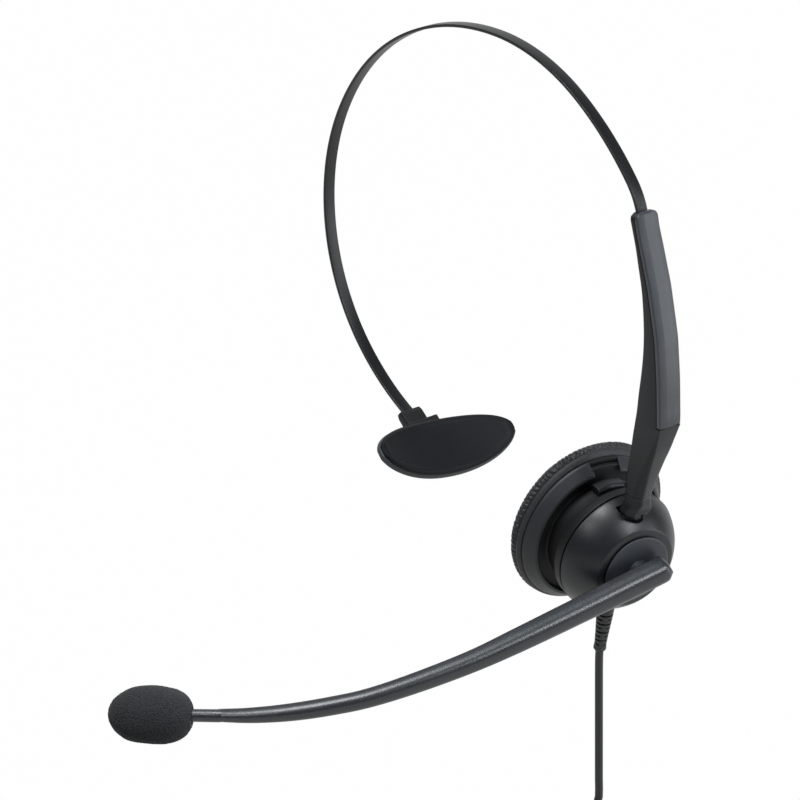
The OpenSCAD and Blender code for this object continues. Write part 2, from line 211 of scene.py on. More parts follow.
def lathe(name, prof, n, origin, axis, side=None, angle=35):
    """Profile of (R, h) about a line; ends on the axis close it."""
    ax = Vector(axis).normalized()
    sd = (Vector(side) if side else ax.orthogonal()); sd = (sd - ax * sd.dot(ax)).normalized()
    up = ax.cross(sd); o = Vector(origin)
    rings = [[o + ax * h + (sd * math.cos(t) + up * math.sin(t)) * max(R, 1e-4) for R, h in prof]
             for t in [2 * pi * i / n for i in range(n)]]
    return loft(name, rings, closed=False, loop=True, angle=angle)
def prism(name, poly, frame_fn, h0, h1, angle=35):
    """2-D polygon pushed through frame_fn(u, v, h)."""
    a = [frame_fn(u, v, h0) for u, v in poly]
    b = [frame_fn(u, v, h1) for u, v in poly]
    return loft(name, [a, b], angle=angle)

# ------------------------------------------------------------------ materials
def nt(name):
    m = bpy.data.materials.new(name); m.use_nodes = True
    t = m.node_tree; b = t.nodes["Principled BSDF"]
    return m, t, b
def node(t, kind, **kw):
    n = t.nodes.new(kind)
    for k, v in kw.items():
        setattr(n, k, v)
    return n
def obj_coord(t, scale=(1, 1, 1)):
    tc = node(t, "ShaderNodeTexCoord")
    mp = node(t, "ShaderNodeMapping")
    mp.inputs["Scale"].default_value = scale
    t.links.new(tc.outputs["Object"], mp.inputs["Vector"])
    return mp.outputs["Vector"]
def noise_tex(t, vec, scale, detail=3, rough=0.5):
    n = node(t, "ShaderNodeTexNoise")
    n.inputs["Scale"].default_value = scale
    n.inputs["Detail"].default_value = detail
    n.inputs["Roughness"].default_value = rough
    t.links.new(vec, n.inputs["Vector"])
    return n.outputs["Fac"]
def ramp(t, fac, stops):
    r = node(t, "ShaderNodeValToRGB")
    e = r.color_ramp.elements
    while len(e) < len(stops): e.new(0.5)
    for s, (p, c) in zip(e, stops):
        s.position = p
        s.color = (c, c, c, 1) if not hasattr(c, "__len__") else (*c, 1)
    t.links.new(fac, r.inputs["Fac"])
    return r.outputs["Color"]
def math_node(t, op, a, b=None):
    n = node(t, "ShaderNodeMath", operation=op)
    for i, v in enumerate((a, b)):
        if v is None: continue
        if isinstance(v, (int, float)): n.inputs[i].default_value = v
        else: t.links.new(v, n.inputs[i])
    return n.outputs[0]
def bump(t, height, strength, dist, normal=None):
    b = node(t, "ShaderNodeBump")
    b.inputs["Strength"].default_value = strength
    b.inputs["Distance"].default_value = dist * S
    t.links.new(height, b.inputs["Height"])
    if normal is not None: t.links.new(normal, b.inputs["Normal"])
    return b.outputs["Normal"]
def mix_col(t, fac, a, b):
    m = node(t, "ShaderNodeMix", data_type="RGBA")
    for sock, v in ((m.inputs[0], fac), (m.inputs[6], a), (m.inputs[7], b)):
        if isinstance(v, (int, float)): sock.default_value = v
        elif isinstance(v, tuple): sock.default_value = (*v, 1)
        else: t.links.new(v, sock)
    return m.outputs[2]
def painted_edge_highlight(t, radius=0.18):
    """Painted highlight along edges: how far the rounded normal leaves the true one."""
    bv = node(t, "ShaderNodeBevel", samples=4)
    bv.inputs["Radius"].default_value = radius * S
    g = node(t, "ShaderNodeNewGeometry")
    d = node(t, "ShaderNodeVectorMath", operation="DOT_PRODUCT")
    t.links.new(bv.outputs["Normal"], d.inputs[0])
    t.links.new(g.outputs["Normal"], d.inputs[1])
    return math_node(t, "SUBTRACT", 1.0, d.outputs["Value"]), bv.outputs["Normal"]

def plastic(name, col, rough=0.45, grain=0.28, strength=0.25, depth=0.03, speck=0.0, edge=0.0,
            spec=0.5, coat=0.0, smudge=0.06):
    m, t, b = nt(name)
    v = obj_coord(t)
    g1 = noise_tex(t, v, 1000 / grain, 2, 0.6)
    g2 = noise_tex(t, v, 1000 / (grain * 3.1), 3, 0.5)
    big = noise_tex(t, v, 90, 4, 0.55)
    h = math_node(t, "ADD", math_node(t, "MULTIPLY", g1, 0.7), math_node(t, "MULTIPLY", g2, 0.5))
    dark = tuple(c * 0.86 for c in col); light = tuple(c * 1.16 for c in col)
    c = mix_col(t, ramp(t, big, [(0.3, 0.0), (0.7, 1.0)]), dark, light)
    if speck:
        sp = ramp(t, g1, [(0.60, 0.0), (0.74, 1.0)])
        c = mix_col(t, math_node(t, "MULTIPLY", sp, speck), c, tuple(min(1, k * 2.6 + 0.02) for k in col))
    nrm = None
    # edge paints a lighter base colour along the edges: a painted highlight
    if edge:
        ef, nrm = painted_edge_highlight(t)
        ef2 = ramp(t, ef, [(0.02, 0.0), (0.30, 1.0)])
        c = mix_col(t, math_node(t, "MULTIPLY", ef2, edge), c, tuple(min(1, k * 2.2 + 0.03) for k in col))
    t.links.new(c, b.inputs["Base Color"])
    r = math_node(t, "ADD", rough - smudge / 2, math_node(t, "MULTIPLY", big, smudge))
    r = math_node(t, "ADD", r, math_node(t, "MULTIPLY", g1, 0.05))
    t.links.new(r, b.inputs["Roughness"])
    t.links.new(bump(t, h, strength, depth, nrm), b.inputs["Normal"])
    b.inputs["Specular IOR Level"].default_value = spec
    b.inputs["Coat Weight"].default_value = coat
    b.inputs["Coat Roughness"].default_value = 0.25
    return m

def leather(name, col, rough=0.5, cell=0.75):
    m, t, b = nt(name)
    v = obj_coord(t)
    w = node(t, "ShaderNodeTexVoronoi", feature="DISTANCE_TO_EDGE")
    w.inputs["Scale"].default_value = 1000 / cell
    wob = node(t, "ShaderNodeVectorMath", operation="ADD")
    nz = node(t, "ShaderNodeTexNoise"); nz.inputs["Scale"].default_value = 900
    sc = node(t, "ShaderNodeVectorMath", operation="SCALE"); sc.inputs["Scale"].default_value = 0.0007
    t.links.new(v, nz.inputs["Vector"]); t.links.new(nz.outputs["Color"], sc.inputs[0])
    t.links.new(v, wob.inputs[0]); t.links.new(sc.outputs[0], wob.inputs[1])
    t.links.new(wob.outputs[0], w.inputs["Vector"])
    cells = ramp(t, w.outputs["Distance"], [(0.0, 0.0), (0.22, 1.0)])
    fine = noise_tex(t, v, 5200, 2, 0.6)
    big = noise_tex(t, v, 140, 4, 0.6)
    h = math_node(t, "ADD", cells, math_node(t, "MULTIPLY", fine, 0.5))
    c = mix_col(t, ramp(t, big, [(0.3, 0.0), (0.72, 1.0)]), tuple(k * 0.8 for k in col), tuple(k * 1.25 for k in col))
    # painted shade: the grain's creases darker
    c = mix_col(t, ramp(t, cells, [(0.0, 0.65), (0.5, 0.0)]), c, tuple(k * 0.45 for k in col))
    t.links.new(c, b.inputs["Base Color"])
    r = math_node(t, "ADD", rough - 0.08, math_node(t, "MULTIPLY", big, 0.16))
    t.links.new(r, b.inputs["Roughness"])
    t.links.new(bump(t, h, 0.45, 0.06), b.inputs["Normal"])
    b.inputs["Specular IOR Level"].default_value = 0.4
    b.inputs["Sheen Weight"].default_value = 0.05
    b.inputs["Sheen Roughness"].default_value = 0.5
    return m

def foam(name, col):
    m, t, b = nt(name)
    v = obj_coord(t)
    w = node(t, "ShaderNodeTexVoronoi", feature="F1")
    w.inputs["Scale"].default_value = 1000 / 0.62
    w2 = node(t, "ShaderNodeTexVoronoi", feature="F1")
    w2.inputs["Scale"].default_value = 1000 / 0.33
    t.links.new(v, w.inputs["Vector"]); t.links.new(v, w2.inputs["Vector"])
    pit = ramp(t, w.outputs["Distance"], [(0.12, 0.0), (0.55, 1.0)])
    pit2 = ramp(t, w2.outputs["Distance"], [(0.15, 0.0), (0.6, 1.0)])
    h = math_node(t, "ADD", pit, math_node(t, "MULTIPLY", pit2, 0.6))
    # painted shade in the pores, lighter on the ridges between them
    c = mix_col(t, ramp(t, h, [(0.35, 0.0), (0.95, 1.0)]), tuple(k * 0.22 for k in col), tuple(k * 1.5 for k in col))
    t.links.new(c, b.inputs["Base Color"])
    b.inputs["Roughness"].default_value = 0.8
    t.links.new(bump(t, h, 0.9, 0.22), b.inputs["Normal"])
    b.inputs["Sheen Weight"].default_value = 0.06
    b.inputs["Sheen Roughness"].default_value = 0.6
    b.inputs["Specular IOR Level"].default_value = 0.2
    return m

def cloth(name, col, pitch=0.45):
    m, t, b = nt(name)
    v = obj_coord(t)
    waves = []
    for rot in ((0, 0, 0), (0, 0, pi / 2)):
        mp = node(t, "ShaderNodeMapping"); mp.inputs["Rotation"].default_value = (0.9 if rot[2] else 0, 0.2, rot[2])
        t.links.new(v, mp.inputs["Vector"])
        w = node(t, "ShaderNodeTexWave", wave_type="BANDS", bands_direction="Y")
        w.inputs["Scale"].default_value = 1000 / pitch / 6.28 * 2
        w.inputs["Distortion"].default_value = 0.6
        t.links.new(mp.outputs["Vector"], w.inputs["Vector"])
        waves.append(w.outputs["Fac"])
    h = math_node(t, "MULTIPLY", waves[0], waves[1])
    c = mix_col(t, ramp(t, h, [(0.1, 0.0), (0.7, 1.0)]), tuple(k * 0.4 for k in col), tuple(k * 1.4 for k in col))
    t.links.new(c, b.inputs["Base Color"])
    b.inputs["Roughness"].default_value = 0.85
    b.inputs["Sheen Weight"].default_value = 0.3
    t.links.new(bump(t, h, 0.6, 0.08), b.inputs["Normal"])
    return m

def metal(name, col, rough=0.3, brush=(1, 1, 1), depth=0.01, edge=0.3):
    m, t, b = nt(name)
    v = obj_coord(t, brush)
    g = noise_tex(t, v, 2600, 4, 0.6)
    big = noise_tex(t, obj_coord(t), 160, 3, 0.5)
    c = mix_col(t, big, tuple(k * 0.85 for k in col), tuple(min(1, k * 1.1) for k in col))
    # painted highlight: lighter base colour along the edges
    ef, nrm = painted_edge_highlight(t, 0.12)
    c = mix_col(t, math_node(t, "MULTIPLY", ramp(t, ef, [(0.02, 0), (0.3, 1)]), edge), c, tuple(min(1, k * 1.5) for k in col))
    t.links.new(c, b.inputs["Base Color"])
    b.inputs["Metallic"].default_value = 1.0
    t.links.new(math_node(t, "ADD", rough - 0.06, math_node(t, "MULTIPLY", g, 0.14)), b.inputs["Roughness"])
    t.links.new(bump(t, g, 0.15, depth, nrm), b.inputs["Normal"])
    return m

# edge= in these materials paints a lighter base colour along the edges: a painted highlight
M = {
    "shell": plastic("moulded_shell", (0.0065, 0.0078, 0.0095), 0.36, 0.28, 0.42, 0.045, 0.5, edge=0.25, spec=0.42),
    # the shell's plastic painted darker for the arm and tongue: painted shade
    "arm": plastic("moulded_arm_painted_shade", (0.0058, 0.0068, 0.0082), 0.42, 0.28, 0.42, 0.045, 0.45, edge=0.25, spec=0.3),
    # darker than the shell: painted shade for the recess and the parts hidden under others
    "recess": plastic("moulded_recess_painted_shade", (0.004, 0.004, 0.0046), 0.55, 0.3, 0.25, 0.03, spec=0.3),
    # lighter than the shell: painted highlight for the light on the shoulder's chamfer
    "ring": plastic("moulded_ring_painted_highlight", (0.013, 0.0145, 0.017), 0.48, 0.22, 0.25, 0.03, spec=0.42),
    "cover": plastic("satin_cover", (0.029, 0.0325, 0.040), 0.34, 0.26, 0.42, 0.04, 0.3, edge=0.5, spec=0.5),
    "hub": plastic("satin_hub", (0.021, 0.025, 0.032), 0.42, 0.2, 0.15, 0.02, edge=0.6, spec=0.45),
    "boom": plastic("grained_boom", (0.016, 0.0185, 0.023), 0.32, 0.38, 0.65, 0.07, 0.8, spec=0.6),
    # the boom's plastic painted darker for the inner shell: painted shade
    "boom_in": plastic("boom_inside_painted_shade", (0.008, 0.0085, 0.010), 0.4, 0.26, 0.25, 0.03, edge=0.3, spec=0.4),
    "leather": leather("leatherette", (0.009, 0.0092, 0.0102)),
    "band_skin": leather("leatherette_edge", (0.018, 0.019, 0.021), 0.55, 0.5),
    "foam": foam("open_foam", (0.014, 0.0148, 0.0165)),
    "pad": plastic("soft_pad", (0.0048, 0.0058, 0.0070), 0.55, 0.3, 0.4, 0.04, 0.15, spec=0.15, smudge=0.1),
    "pad_rim": plastic("pad_rim", (0.036, 0.039, 0.043), 0.5, 0.3, 0.3, 0.03, edge=0.3, spec=0.4),
    "band": plastic("coated_spring", (0.005, 0.0054, 0.0064), 0.36, 0.4, 0.12, 0.015, edge=0.5, spec=0.35),
    "rubber": plastic("cord_rubber", (0.010, 0.0107, 0.012), 0.48, 0.35, 0.2, 0.02),
    "cad_black": plastic("moulded_part", (0.020, 0.021, 0.023), 0.45, 0.28, 0.25, 0.03, edge=0.5),
    "cad_grey": plastic("moulded_grey_part", (0.05, 0.052, 0.056), 0.45, 0.28, 0.25, 0.03, edge=0.4),
    "cloth": cloth("acoustic_cloth", (0.022, 0.022, 0.024)),
    "steel": metal("machined_steel", (0.55, 0.55, 0.57), 0.32),
    "spring": metal("spring_steel", (0.42, 0.42, 0.45), 0.28, (1, 1, 0.1)),
    "dark_steel": metal("blackened_steel", (0.035, 0.036, 0.039), 0.5),
    "plate": metal("plated_contact", (0.80, 0.78, 0.72), 0.16),
    "copper": metal("lacquered_wire", (0.62, 0.30, 0.16), 0.35),
    "magnet": metal("zinc_plated", (0.48, 0.47, 0.44), 0.4, (1, 1, 1), 0.02),
}
def film(name):
    m, t, b = nt(name)
    v = obj_coord(t)
    mp = noise_tex(t, v, 700, 3)
    c = mix_col(t, mp, (0.16, 0.17, 0.2), (0.26, 0.27, 0.3))
    t.links.new(c, b.inputs["Base Color"])
    b.inputs["Roughness"].default_value = 0.2
    b.inputs["Coat Weight"].default_value = 0.4
    t.links.new(bump(t, mp, 0.2, 0.02), b.inputs["Normal"])
    return m
M["film"] = film("formed_film")

CAD_MATS = {
    "cushion_ring": "cad_black", "speaker_cloth": "cloth", "speaker_grille": "cad_black",
    "speaker_frame": "cad_black", "diaphragm": "film", "magnet": "magnet", "cup_screws": "steel",
    "neck_pin": "dark_steel", "plug_shaft": "plate", "plug_rings": "cad_black", "arm_screws": "steel",
    "friction_spring": "spring", "stem_pin": "dark_steel", "stem_clip": "dark_steel", "end_stop": "cad_grey",
    "pad_pin": "steel", "hub_washer": "spring", "hub_screw": "steel", "mic_lead": "copper",
    "mic_capsule": "magnet",
}

# ------------------------------------------------------------------ camera
TG = W(5.12, -0.17, -0.26)
cv = Vector((0.68407, -0.61594, 0.39073)); rv = Vector((0.66913, 0.74314, 0.0)); uv = Vector((-0.29037, 0.26145, 0.92050))
cam_data = bpy.data.cameras.new("camera"); cam = bpy.data.objects.new("camera", cam_data)
bpy.context.scene.collection.objects.link(cam)
loc = TG + cv * 1500
fwd = (-cv * 5250 - rv * (594 - 400) + uv * (519 - 400)).normalized()
right = (rv - fwd * rv.dot(fwd)).normalized()
up = right.cross(fwd)
mw = Matrix.Identity(4)
for i in range(3):
    mw[i][0], mw[i][1], mw[i][2], mw[i][3] = right[i], up[i], -fwd[i], loc[i] * S
cam.matrix_world = mw
cam_data.sensor_width = 36; cam_data.sensor_fit = "HORIZONTAL"
cam_data.lens = 236.25
cam_data.clip_start = 0.1; cam_data.clip_end = 20
bpy.context.scene.camera = cam

# ------------------------------------------------------------------ cord: lead, coil, tail and plug
CORD_D = 2.4
# ------------------------------------------------------------------ ear cushion (sculpted torus with pleats)
def ear_cushion():
    na, rings = (900), []
    # (x, R) round the section, from the head-side flat out, over the rim and back along the plate
    sec = [(6.7, 12.3), (5.0, 12.0), (2.9, 12.05), (1.3, 12.6), (0.4, 13.5), (0.05, 14.9), (0.0, 16.6), (0.1, 18.2),
           (0.4, 19.7), (0.95, 21.2), (1.7, 22.6), (2.6, 23.85), (3.5, 24.7), (4.3, 25.15), (5.0, 25.3), (5.6, 25.15),
           (6.05, 24.8), (6.22, 24.45), (6.5, 24.5), (7.0, 24.3), (7.5, 23.85), (7.86, 23.25), (7.88, 21.6)]
    # finer section by cubic reading
    tab = [(i, a, b) for i, (a, b) in enumerate(sec)]
    fine = [lerp_table(tab, i / 4.0) for i in range((len(sec) - 1) * 4 + 1)]
    closing = [(6.8, 21.3), (6.8, 14.2)]
    for i in range(na):
        a = 2 * pi * i / na
        sy, cz = math.sin(a), math.cos(a)
        ring = []
        for j, (x, R) in enumerate(fine):
            u = j / (len(fine) - 1)
            # pleats where the skin is gathered over the outer rim
            on = smooth(0.36, 0.54, u) * (1 - smooth(0.69, 0.755, u))
            ph = a * 104 + 3.2 * noise.noise(Vector((sy * 4, cz * 4, 4.0 + 1.5 * u))) + 1.1 * noise.noise(Vector((sy * 14, cz * 14, u * 12)))
            pl = math.sin(ph + 0.9 * math.sin(a * 23 + u * 17)) * 0.5 + 0.5
            amp = 0.27 + 0.36 * noise.noise(Vector((sy * 9, cz * 9, u * 5)))
            dr = -on * amp * (pl ** 1.6)
            # soft lumps of the foam beneath
            lump = 0.16 * noise.noise(Vector((sy * 2.3, cz * 2.3, u * 4 + 7)))
            fine_n = 0.05 * noise.noise(Vector((sy * 26 * 1.3, cz * 26 * 1.3, x * 1.7)))
            soft = 1 - smooth(0.74, 0.80, u)
            dr += soft * (lump + fine_n)
            # stitched crease close to the plate
            R2 = R + dr
            x2 = x + (0.10 * lump if u < 0.4 else 0)
            g = smooth(0.15, 0.4, u) * (1 - smooth(0.74, 0.9, u))
            ring.append(L(x2, (R2 - 0.15 * g) * sy + 0.5 * g, (R2 - 0.15 * g) * cz + 0.4 * g))
        for x, R in closing:
            ring.append(L(x, R * sy, R * cz))
        rings.append(ring)
    ob = loft("ear_cushion_skin", rings, loop=True, angle=60)
    finish_piece(ob, "ear_cup", M["leather"], ["ear_cushion"])
    ob.data.materials.append(M["band_skin"])
    for p in ob.data.polygons:
        c = p.center / S
        x = c.dot(XL)
        R = math.hypot(c.dot(YL), c.dot(ZL))
        if x > 6.2 and R > 22:
            p.material_index = 1
    return ob
ear_cushion()

# ------------------------------------------------------------------ cup base
def arc2(cx, cy, r, d0, d1, n):
    return [(cx + r * math.cos(math.radians(d0 + (d1 - d0) * i / n)), cy + r * math.sin(math.radians(d0 + (d1 - d0) * i / n))) for i in range(n + 1)]
def cup_base():
    n = 160
    # core: plate, recess wall, rim ring (R, x)
    core = fillet([(14, 7.95), (21.7, 7.95), (21.7, 10.2), (20.0, 10.3), (16.2, 10.5), (16.0, 17.5), (18.55, 17.7),
                   (18.78, 20.85), (14.45, 20.9), (14.45, 18.4), (8.4, 18.4), (8.4, 17.8), (14.45, 17.2), (14.45, 13),
                   (13.2, 12.6), (14, 12)],
                  [0.1, 0.1, 0.3, 0.5, 0.7, 0.5, 0.35, 0.3, 0.1, 0.1, 0.1, 0.1, 0.1, 0.1, 0.1, 0.1], 4)
    base = revolve("cup_plate", core, n)
    # shoulder ring, open at the window near the top (angles from +z towards +y)
    sh = fillet([(21.6, 7.95), (23.1, 7.95), (23.25, 8.35), (23.0, 8.9), (20.95, 11.6), (20.2, 11.85), (19.9, 11.4), (21.4, 10.3)],
                [0.05, 0.15, 0.15, 0.3, 0.35, 0.15, 0.1, 0.1], 4)
    a0 = math.asin(5.4 / 22.5); a1 = 2 * pi - math.asin(4.1 / 22.5)
    ring = revolve("shoulder_ring", sh, n, a0=a0, a1=a1)
    bevel(ring, 0.15, 2, 50)
    # thin outer lip that bridges the window
    lip = fillet([(21.9, 7.95), (23.1, 7.95), (23.2, 8.3), (23.0, 8.8), (22.0, 8.9)], 0.12, 3)
    lipo = revolve("window_lip", lip, 40, a0=-math.asin(4.5 / 22.6), a1=math.asin(5.8 / 22.6))
    # lug behind the neck: a curved block
    lug = fillet([(15.6, 12.3), (18.7, 12.3), (19.0, 13.2), (19.0, 15.6), (18.4, 16.4), (15.6, 16.6)], [0.1, 0.1, 0.4, 0.6, 0.5, 0.1], 4)
    lugo = revolve("stop_lug", lug, 16, a0=-math.asin(5.0 / 18.6), a1=math.asin(3.6 / 18.6))
    bevel(lugo, 0.6, 4, 50)
    obs = [finish_piece(base, "ear_cup", M["recess"], ["cup_base"])]
    finish_piece(ring, "ear_cup", M["ring"])
    finish_piece(lipo, "ear_cup", M["recess"])
    finish_piece(lugo, "ear_cup", M["shell"])
cup_base()

# ------------------------------------------------------------------ dome
def dome():
    R0, XC = 19.6, 16.0
    xs, xt = 21.3, 31.2
    a_s = math.acos((xs - XC) / R0); a_t = math.acos((xt - XC) / R0)
    outer = [(R0 * math.sin(a_s + (a_t - a_s) * i / 40), XC + R0 * math.cos(a_s + (a_t - a_s) * i / 40)) for i in range(41)]
    outer = [outer[0]] + [o for o in outer if o[1] > xs + 0.45]
    Ri = R0 - 1.6
    b_s = math.acos((22.4 - XC) / Ri); b_t = math.acos((29.8 - XC) / Ri)
    inner = [(Ri * math.sin(b_t + (b_s - b_t) * i / 24), XC + Ri * math.cos(b_t + (b_s - b_t) * i / 24)) for i in range(25)]
    rim_o = [(outer[0][0] - 0.5, xs), (outer[0][0] - 0.18, xs + 0.1), (outer[0][0] - 0.04, xs + 0.35)]
    top = [(outer[-1][0] - 0.25, xt - 0.02), (3.1, xt), (3.1, 28.6), (5, 28.6), (5, 29.8)]
    prof = rim_o + outer[1:-1] + [(outer[-1][0] + 0.02, outer[-1][1] - 0.1)] + top + inner + [(13.2, 22.4), (13.2, 18.9), (14.35, 18.9), (14.35, 21.3)]
    ob = revolve("dome_shell_skin", prof, 192)
    # slot for the neck, with rounded bottom corners
    w = 4.75
    poly = fillet([(-w, 14.2), (w, 14.2), (w, 30), (-w, 30)], [4.6, 4.6, 0.1, 0.1], 10)
    c = prism("c", poly, lambda u, v, h: L(h, u, v), 24.0, 40)
    boolean(ob, c)
    bevel(ob, 0.3, 3, 38)
    finish_piece(ob, "ear_cup", M["shell"], ["dome_shell"])
    # ears for the pin and bosses for the screws
    parts = []
    for s in (-1, 1):
        poly = fillet([(21.6, 5.2), (27.6, 5.2), (28.8, 12.4), (21.6, 12.8)], [0.8, 0.8, 2.4, 2.6], 5)
        parts.append(prism("e", poly, lambda u, v, h, s=s: L(u, s * h, v), 5.5, 8.4))
    for a in (20, 160, 230, 310):
        ar = math.radians(a)
        cy, cz = 11.3 * math.cos(ar), 11.3 * math.sin(ar)
        poly = [(cy + 2.1 * math.cos(t * pi / 14), cz + 2.1 * math.sin(t * pi / 14)) for t in range(28)]
        parts.append(prism("e", poly, lambda u, v, h: L(h, u, v), 18.42, 26.5))
    eo = join("dome_ribs", parts)
    bevel(eo, 0.2, 2, 45)
    finish_piece(eo, "ear_cup", M["recess"])
dome()

# ------------------------------------------------------------------ strain relief with staggered slots
def strain_relief():
    o = L(18, 2.0, -37); ax = ZL
    n = 48
    sd = YL; upv = XL
    rings = []
    N = 200
    for i in range(N + 1):
        h = 22.4 * i / N
        R = 1.74 + (2.6 - 1.74) * smooth(0, 17, h) + (0.12 if h < 1.1 else 0)
        R *= (1 - 0.12 * (1 - smooth(0, 0.35, h)))
        ring = []
        k = (h - 1.7) / 1.5
        f = k - math.floor(k)
        band = int(math.floor(k))
        for j in range(n):
            t = 2 * pi * j / n
            r = R
            if 0 <= band < 8 and 0.24 < f < 0.60:
                turn = 0 if band % 2 == 0 else pi / 2
                c = abs(math.cos(t - turn - 0.5))
                w = min(smooth(0.24, 0.30, f), 1 - smooth(0.54, 0.60, f))
                if c > 0.33:
                    r = R - (0.62 * w) * smooth(0.33, 0.45, c)
            ring.append(o + ax * h + sd * (r * math.cos(t)) + upv * (r * math.sin(t)))
        rings.append(ring)
    ob = loft("strain_relief_ribs", rings, angle=40)
    finish_piece(ob, "ear_cup", M["rubber"], ["strain_relief"])
strain_relief()

# ------------------------------------------------------------------ neck
def neck():
    # barrel on the pin
    prof = fillet([(1.55, -5), (4.4, -5), (4.4, 5), (1.55, 5)], [0.1, 0.4, 0.4, 0.1], 4)
    n = 64; rings = []
    for i in range(n):
        a = 2 * pi * i / n
        rings.append([L(25 + R * math.cos(a), y, 9 + R * math.sin(a)) for R, y in prof])
    barrel = loft("b", rings, loop=True)
    web = prism("w", fillet([(25.6, -4.2), (27.4, -4.2), (27.4, 4.2), (25.6, 4.2)], 0.4, 3), lambda u, v, h: L(u, v, h), 11.0, 16.5)
    # tongue: fills the slot, and runs into the arm's own section above the dome
    tab = [(15.25, 0.9, 1.2), (15.45, 0.55, 2.3), (15.8, 0.25, 3.05), (16.5, 0.08, 3.8), (17.7, 0.0, 4.42), (19.5, 0.0, 4.5), (21.5, 0.0, 4.55), (23.28, 0.0, 4.55)]
    stack = [(z, [W(u, v, z) for u, v in arm_low_poly(z)]) for z in [12 + 0.5 * i for i in range(58)]]
    def arm_ring(h):
        """The arm's outline on the neck's own plane at height h."""
        out = []
        for k in range(len(stack[0][1])):
            for i in range(len(stack) - 1):
                a, b = stack[i][1][k], stack[i + 1][1][k]
                ha, hb = a.dot(ZL), b.dot(ZL)
                if ha <= h <= hb:
                    break
            out.append(a + (b - a) * ((h - ha) / (hb - ha)))
        return out
    rings = []
    for i in range(57):
        z = 15.25 + (23.30 - 15.25) * (i / 56) ** 1.5
        ins, hw = lerp_table(tab, z)
        x0, x1 = 25.5 + ins * 0.6, 30.3 - ins
        q = hw / 4.5
        p = fillet([(x0, -hw), (x1 - 1.6, -hw), (x1, -hw + 2.2 * q), (x1 - 1.0, hw), (x0, hw)],
                   [0.5, 0.9, 0.9, 1.4, 0.5], 6)
        t = smooth(17.6, 21.6, z)
        rings.append([L(u, v, z) * (1 - t) + g * t for (u, v), g in zip(p, arm_ring(z))])
    tongue = loft("t", rings, angle=42)
    # hole for the stem
    c = prism("c", [(27.9 + 1.3 * math.cos(t * pi / 16), 1.3 * math.sin(t * pi / 16)) for t in range(32)], lambda u, v, h: L(u, v, h), 14.5, 24)
    boolean(tongue, c, angle=42)
    finish_piece(tongue, "neck", M["arm"])
    ob = join("neck_barrel", [barrel, web])
    finish_piece(ob, "neck", M["recess"], ["neck_block"])
    tongue.name = "neck_tongue"

# ------------------------------------------------------------------ arm
ARM_IN = [(101.5, 30.5), (97.7, 31.6), (92.3, 33.1), (87.2, 34.2), (80.5, 35.6), (75, 36.2), (69.4, 36.5), (65.6, 36.5),
          (60.8, 36.2), (55.3, 35.5), (49.9, 34.6), (43.1, 33.6), (37.2, 32.2), (30.6, 30.8), (23.4, 29.1), (16, 28.0)]
ARM_OUT = [(101.9, 34.0), (97.1, 35.0), (92, 36.6), (86.3, 38.3), (81.6, 39.7), (76.9, 40.7), (71, 41.9), (66.7, 42.7),
           (62.1, 43.1), (55.1, 43.6), (47, 43.8), (43.5, 43.85), (41.4, 43.7), (39.6, 43.1), (36, 41.8), (33, 40.7), (28, 38.5), (22.5, 36.3), (16, 33.9)]
IN_T = [(z, x) for z, x in reversed(ARM_IN)]
OUT_T = [(z, x) for z, x in reversed(ARM_OUT)]
YF, YB = -10.4, -2.4
def x_in(z): return lerp_table(IN_T, z)[0]
def x_out(z): return lerp_table(OUT_T, z)[0]
def x_seam(z): return x_out(z) - (1.45 + 0.3 * smooth(100, 90, z))
ELBOW = 41.2
def below_plane(p):
    return p.dot(ZL) - 23.42
def arm_low_poly(z):
    """Section of the arm below the elbow; the ridge walks back along the front."""
    xi, xo = x_in(z), x_out(z)
    k = 1 - clamp((z - 17) / (ELBOW - 17))
    yf = YF + 0.5 * k
    yr = YF + 2.6 * k                # ridge between the front and outer facets
    xr = xo - 0.2 * k
    xb = xo - 1.6 * k
    yb = YB - 0.1 * k
    xf = xi + (xo - xi) * (1.0 - 0.42 * k)
    return fillet([(xi, yf), (xf - 0.02, yf), (xr, yr + 0.02), (xb + 0.02, yb), (xi, yb)],
                  [0.7 + 0.5 * k, 0.15 + 1.2 * k, 0.35 + 0.9 * k, 0.5 + 2.0 * k, 0.7 + 0.5 * k], 6)
